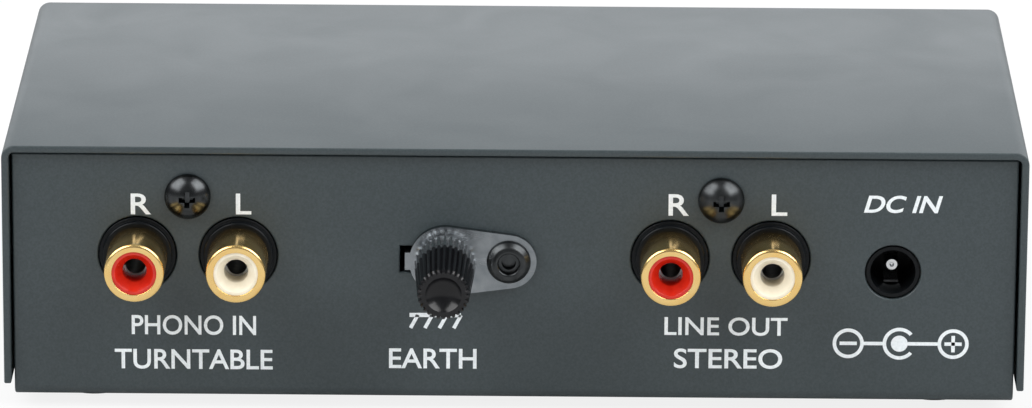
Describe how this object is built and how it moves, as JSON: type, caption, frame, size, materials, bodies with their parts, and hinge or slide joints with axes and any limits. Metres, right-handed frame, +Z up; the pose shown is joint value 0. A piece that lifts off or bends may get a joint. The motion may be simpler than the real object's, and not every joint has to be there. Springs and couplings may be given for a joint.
{
  "type": "phono preamp",
  "caption": "Small steel phono preamplifier box: rear panel with gold phono jacks, a knurled ground terminal on a plated lug, and a power socket.",
  "frame": {"origin": "under the middle of the whole object, on the surface that its feet stand on", "axes": "+X to the right when the connector panel is faced, +Y from the connector panel to the front panel, +Z up"},
  "size_m": [0.145, 0.0914, 0.0383],
  "materials": {
    "painted_steel": "satin blue-grey powder coat with a fine sparkle",
    "black_screw": "glossy black",
    "black_rivet": "glossy black",
    "bright_steel": "zinc plated",
    "nickel_plate": "bright nickel plate",
    "gold_plate": "bright gold plate",
    "red_insert": "glossy red",
    "white_insert": "glossy white",
    "black_moulding": "moulded black",
    "black_knob": "glossy black",
    "foot_rubber": "matte black",
    "board_laminate": "green solder mask",
    "capacitor_sleeve": "dark sleeve",
    "film_capacitor": "dipped, brick red",
    "resistor_lacquer": "light blue lacquer",
    "green_wire": "green insulation",
    "light_lens": "green tinted lens"
  },
  "bodies": {
    "case": {"chassis": "painted_steel", "cover": "painted_steel", "cover_screws": "black_screw", "jack_screws": "black_screw", "board_screws": "bright_steel", "board_standoffs": "bright_steel", "foot_rear_left": "foot_rubber", "foot_rear_right": "foot_rubber", "foot_front_left": "foot_rubber", "foot_front_right": "foot_rubber", "input_jack_housing": "black_moulding", "output_jack_housing": "black_moulding", "ground_plate": "nickel_plate", "ground_nut": "nickel_plate", "ground_stud": "nickel_plate", "ground_rivet": "black_rivet", "rivet_mandrel": "bright_steel", "ground_lead": "green_wire", "dc_jack_housing": "black_moulding", "dc_jack_pin": "nickel_plate", "dc_jack_leaf": "nickel_plate", "circuit_board": "board_laminate", "chip_socket": "black_moulding", "amplifier_chip": "black_moulding", "regulator": "black_moulding", "supply_capacitor": "capacitor_sleeve", "positive_rail_capacitor": "capacitor_sleeve", "negative_rail_capacitor": "capacitor_sleeve", "right_output_capacitor": "capacitor_sleeve", "left_output_capacitor": "capacitor_sleeve", "supply_diode": "black_moulding", "power_light": "light_lens", "power_light_leads": "bright_steel", "right_film_capacitor_1": "film_capacitor", "right_film_capacitor_2": "film_capacitor", "right_resistor_1": "resistor_lacquer", "right_resistor_2": "resistor_lacquer", "right_resistor_3": "resistor_lacquer", "left_film_capacitor_1": "film_capacitor", "left_film_capacitor_2": "film_capacitor", "left_resistor_1": "resistor_lacquer", "left_resistor_2": "resistor_lacquer", "left_resistor_3": "resistor_lacquer", "input_right_shell": "gold_plate", "input_right_insert": "red_insert", "input_right_contact": "bright_steel", "input_left_shell": "gold_plate", "input_left_insert": "white_insert", "input_left_contact": "bright_steel", "output_right_shell": "gold_plate", "output_right_insert": "red_insert", "output_right_contact": "bright_steel", "output_left_shell": "gold_plate", "output_left_insert": "white_insert", "output_left_contact": "bright_steel"},
    "washer": {"ground_washer": "nickel_plate"},
    "knob": {"ground_skirt": "nickel_plate", "ground_knob": "black_knob"}
  },
  "joints": [
    {"name": "washer_slide", "type": "slide", "parent": "case", "child": "washer", "axis": [0, -1, 0], "range_m": [0, 0.0021]},
    {"name": "knob_turn", "type": "hinge", "parent": "washer", "child": "knob", "pos_m": [-0.0096, -0.03105, 0.0221], "axis": [0, -1, 0], "range_deg": [0, 1080]}
  ],
  "couplings": [
    {"joint": "washer_slide", "follows": "knob_turn", "m_per_rad": 0.00011141}
  ]
}
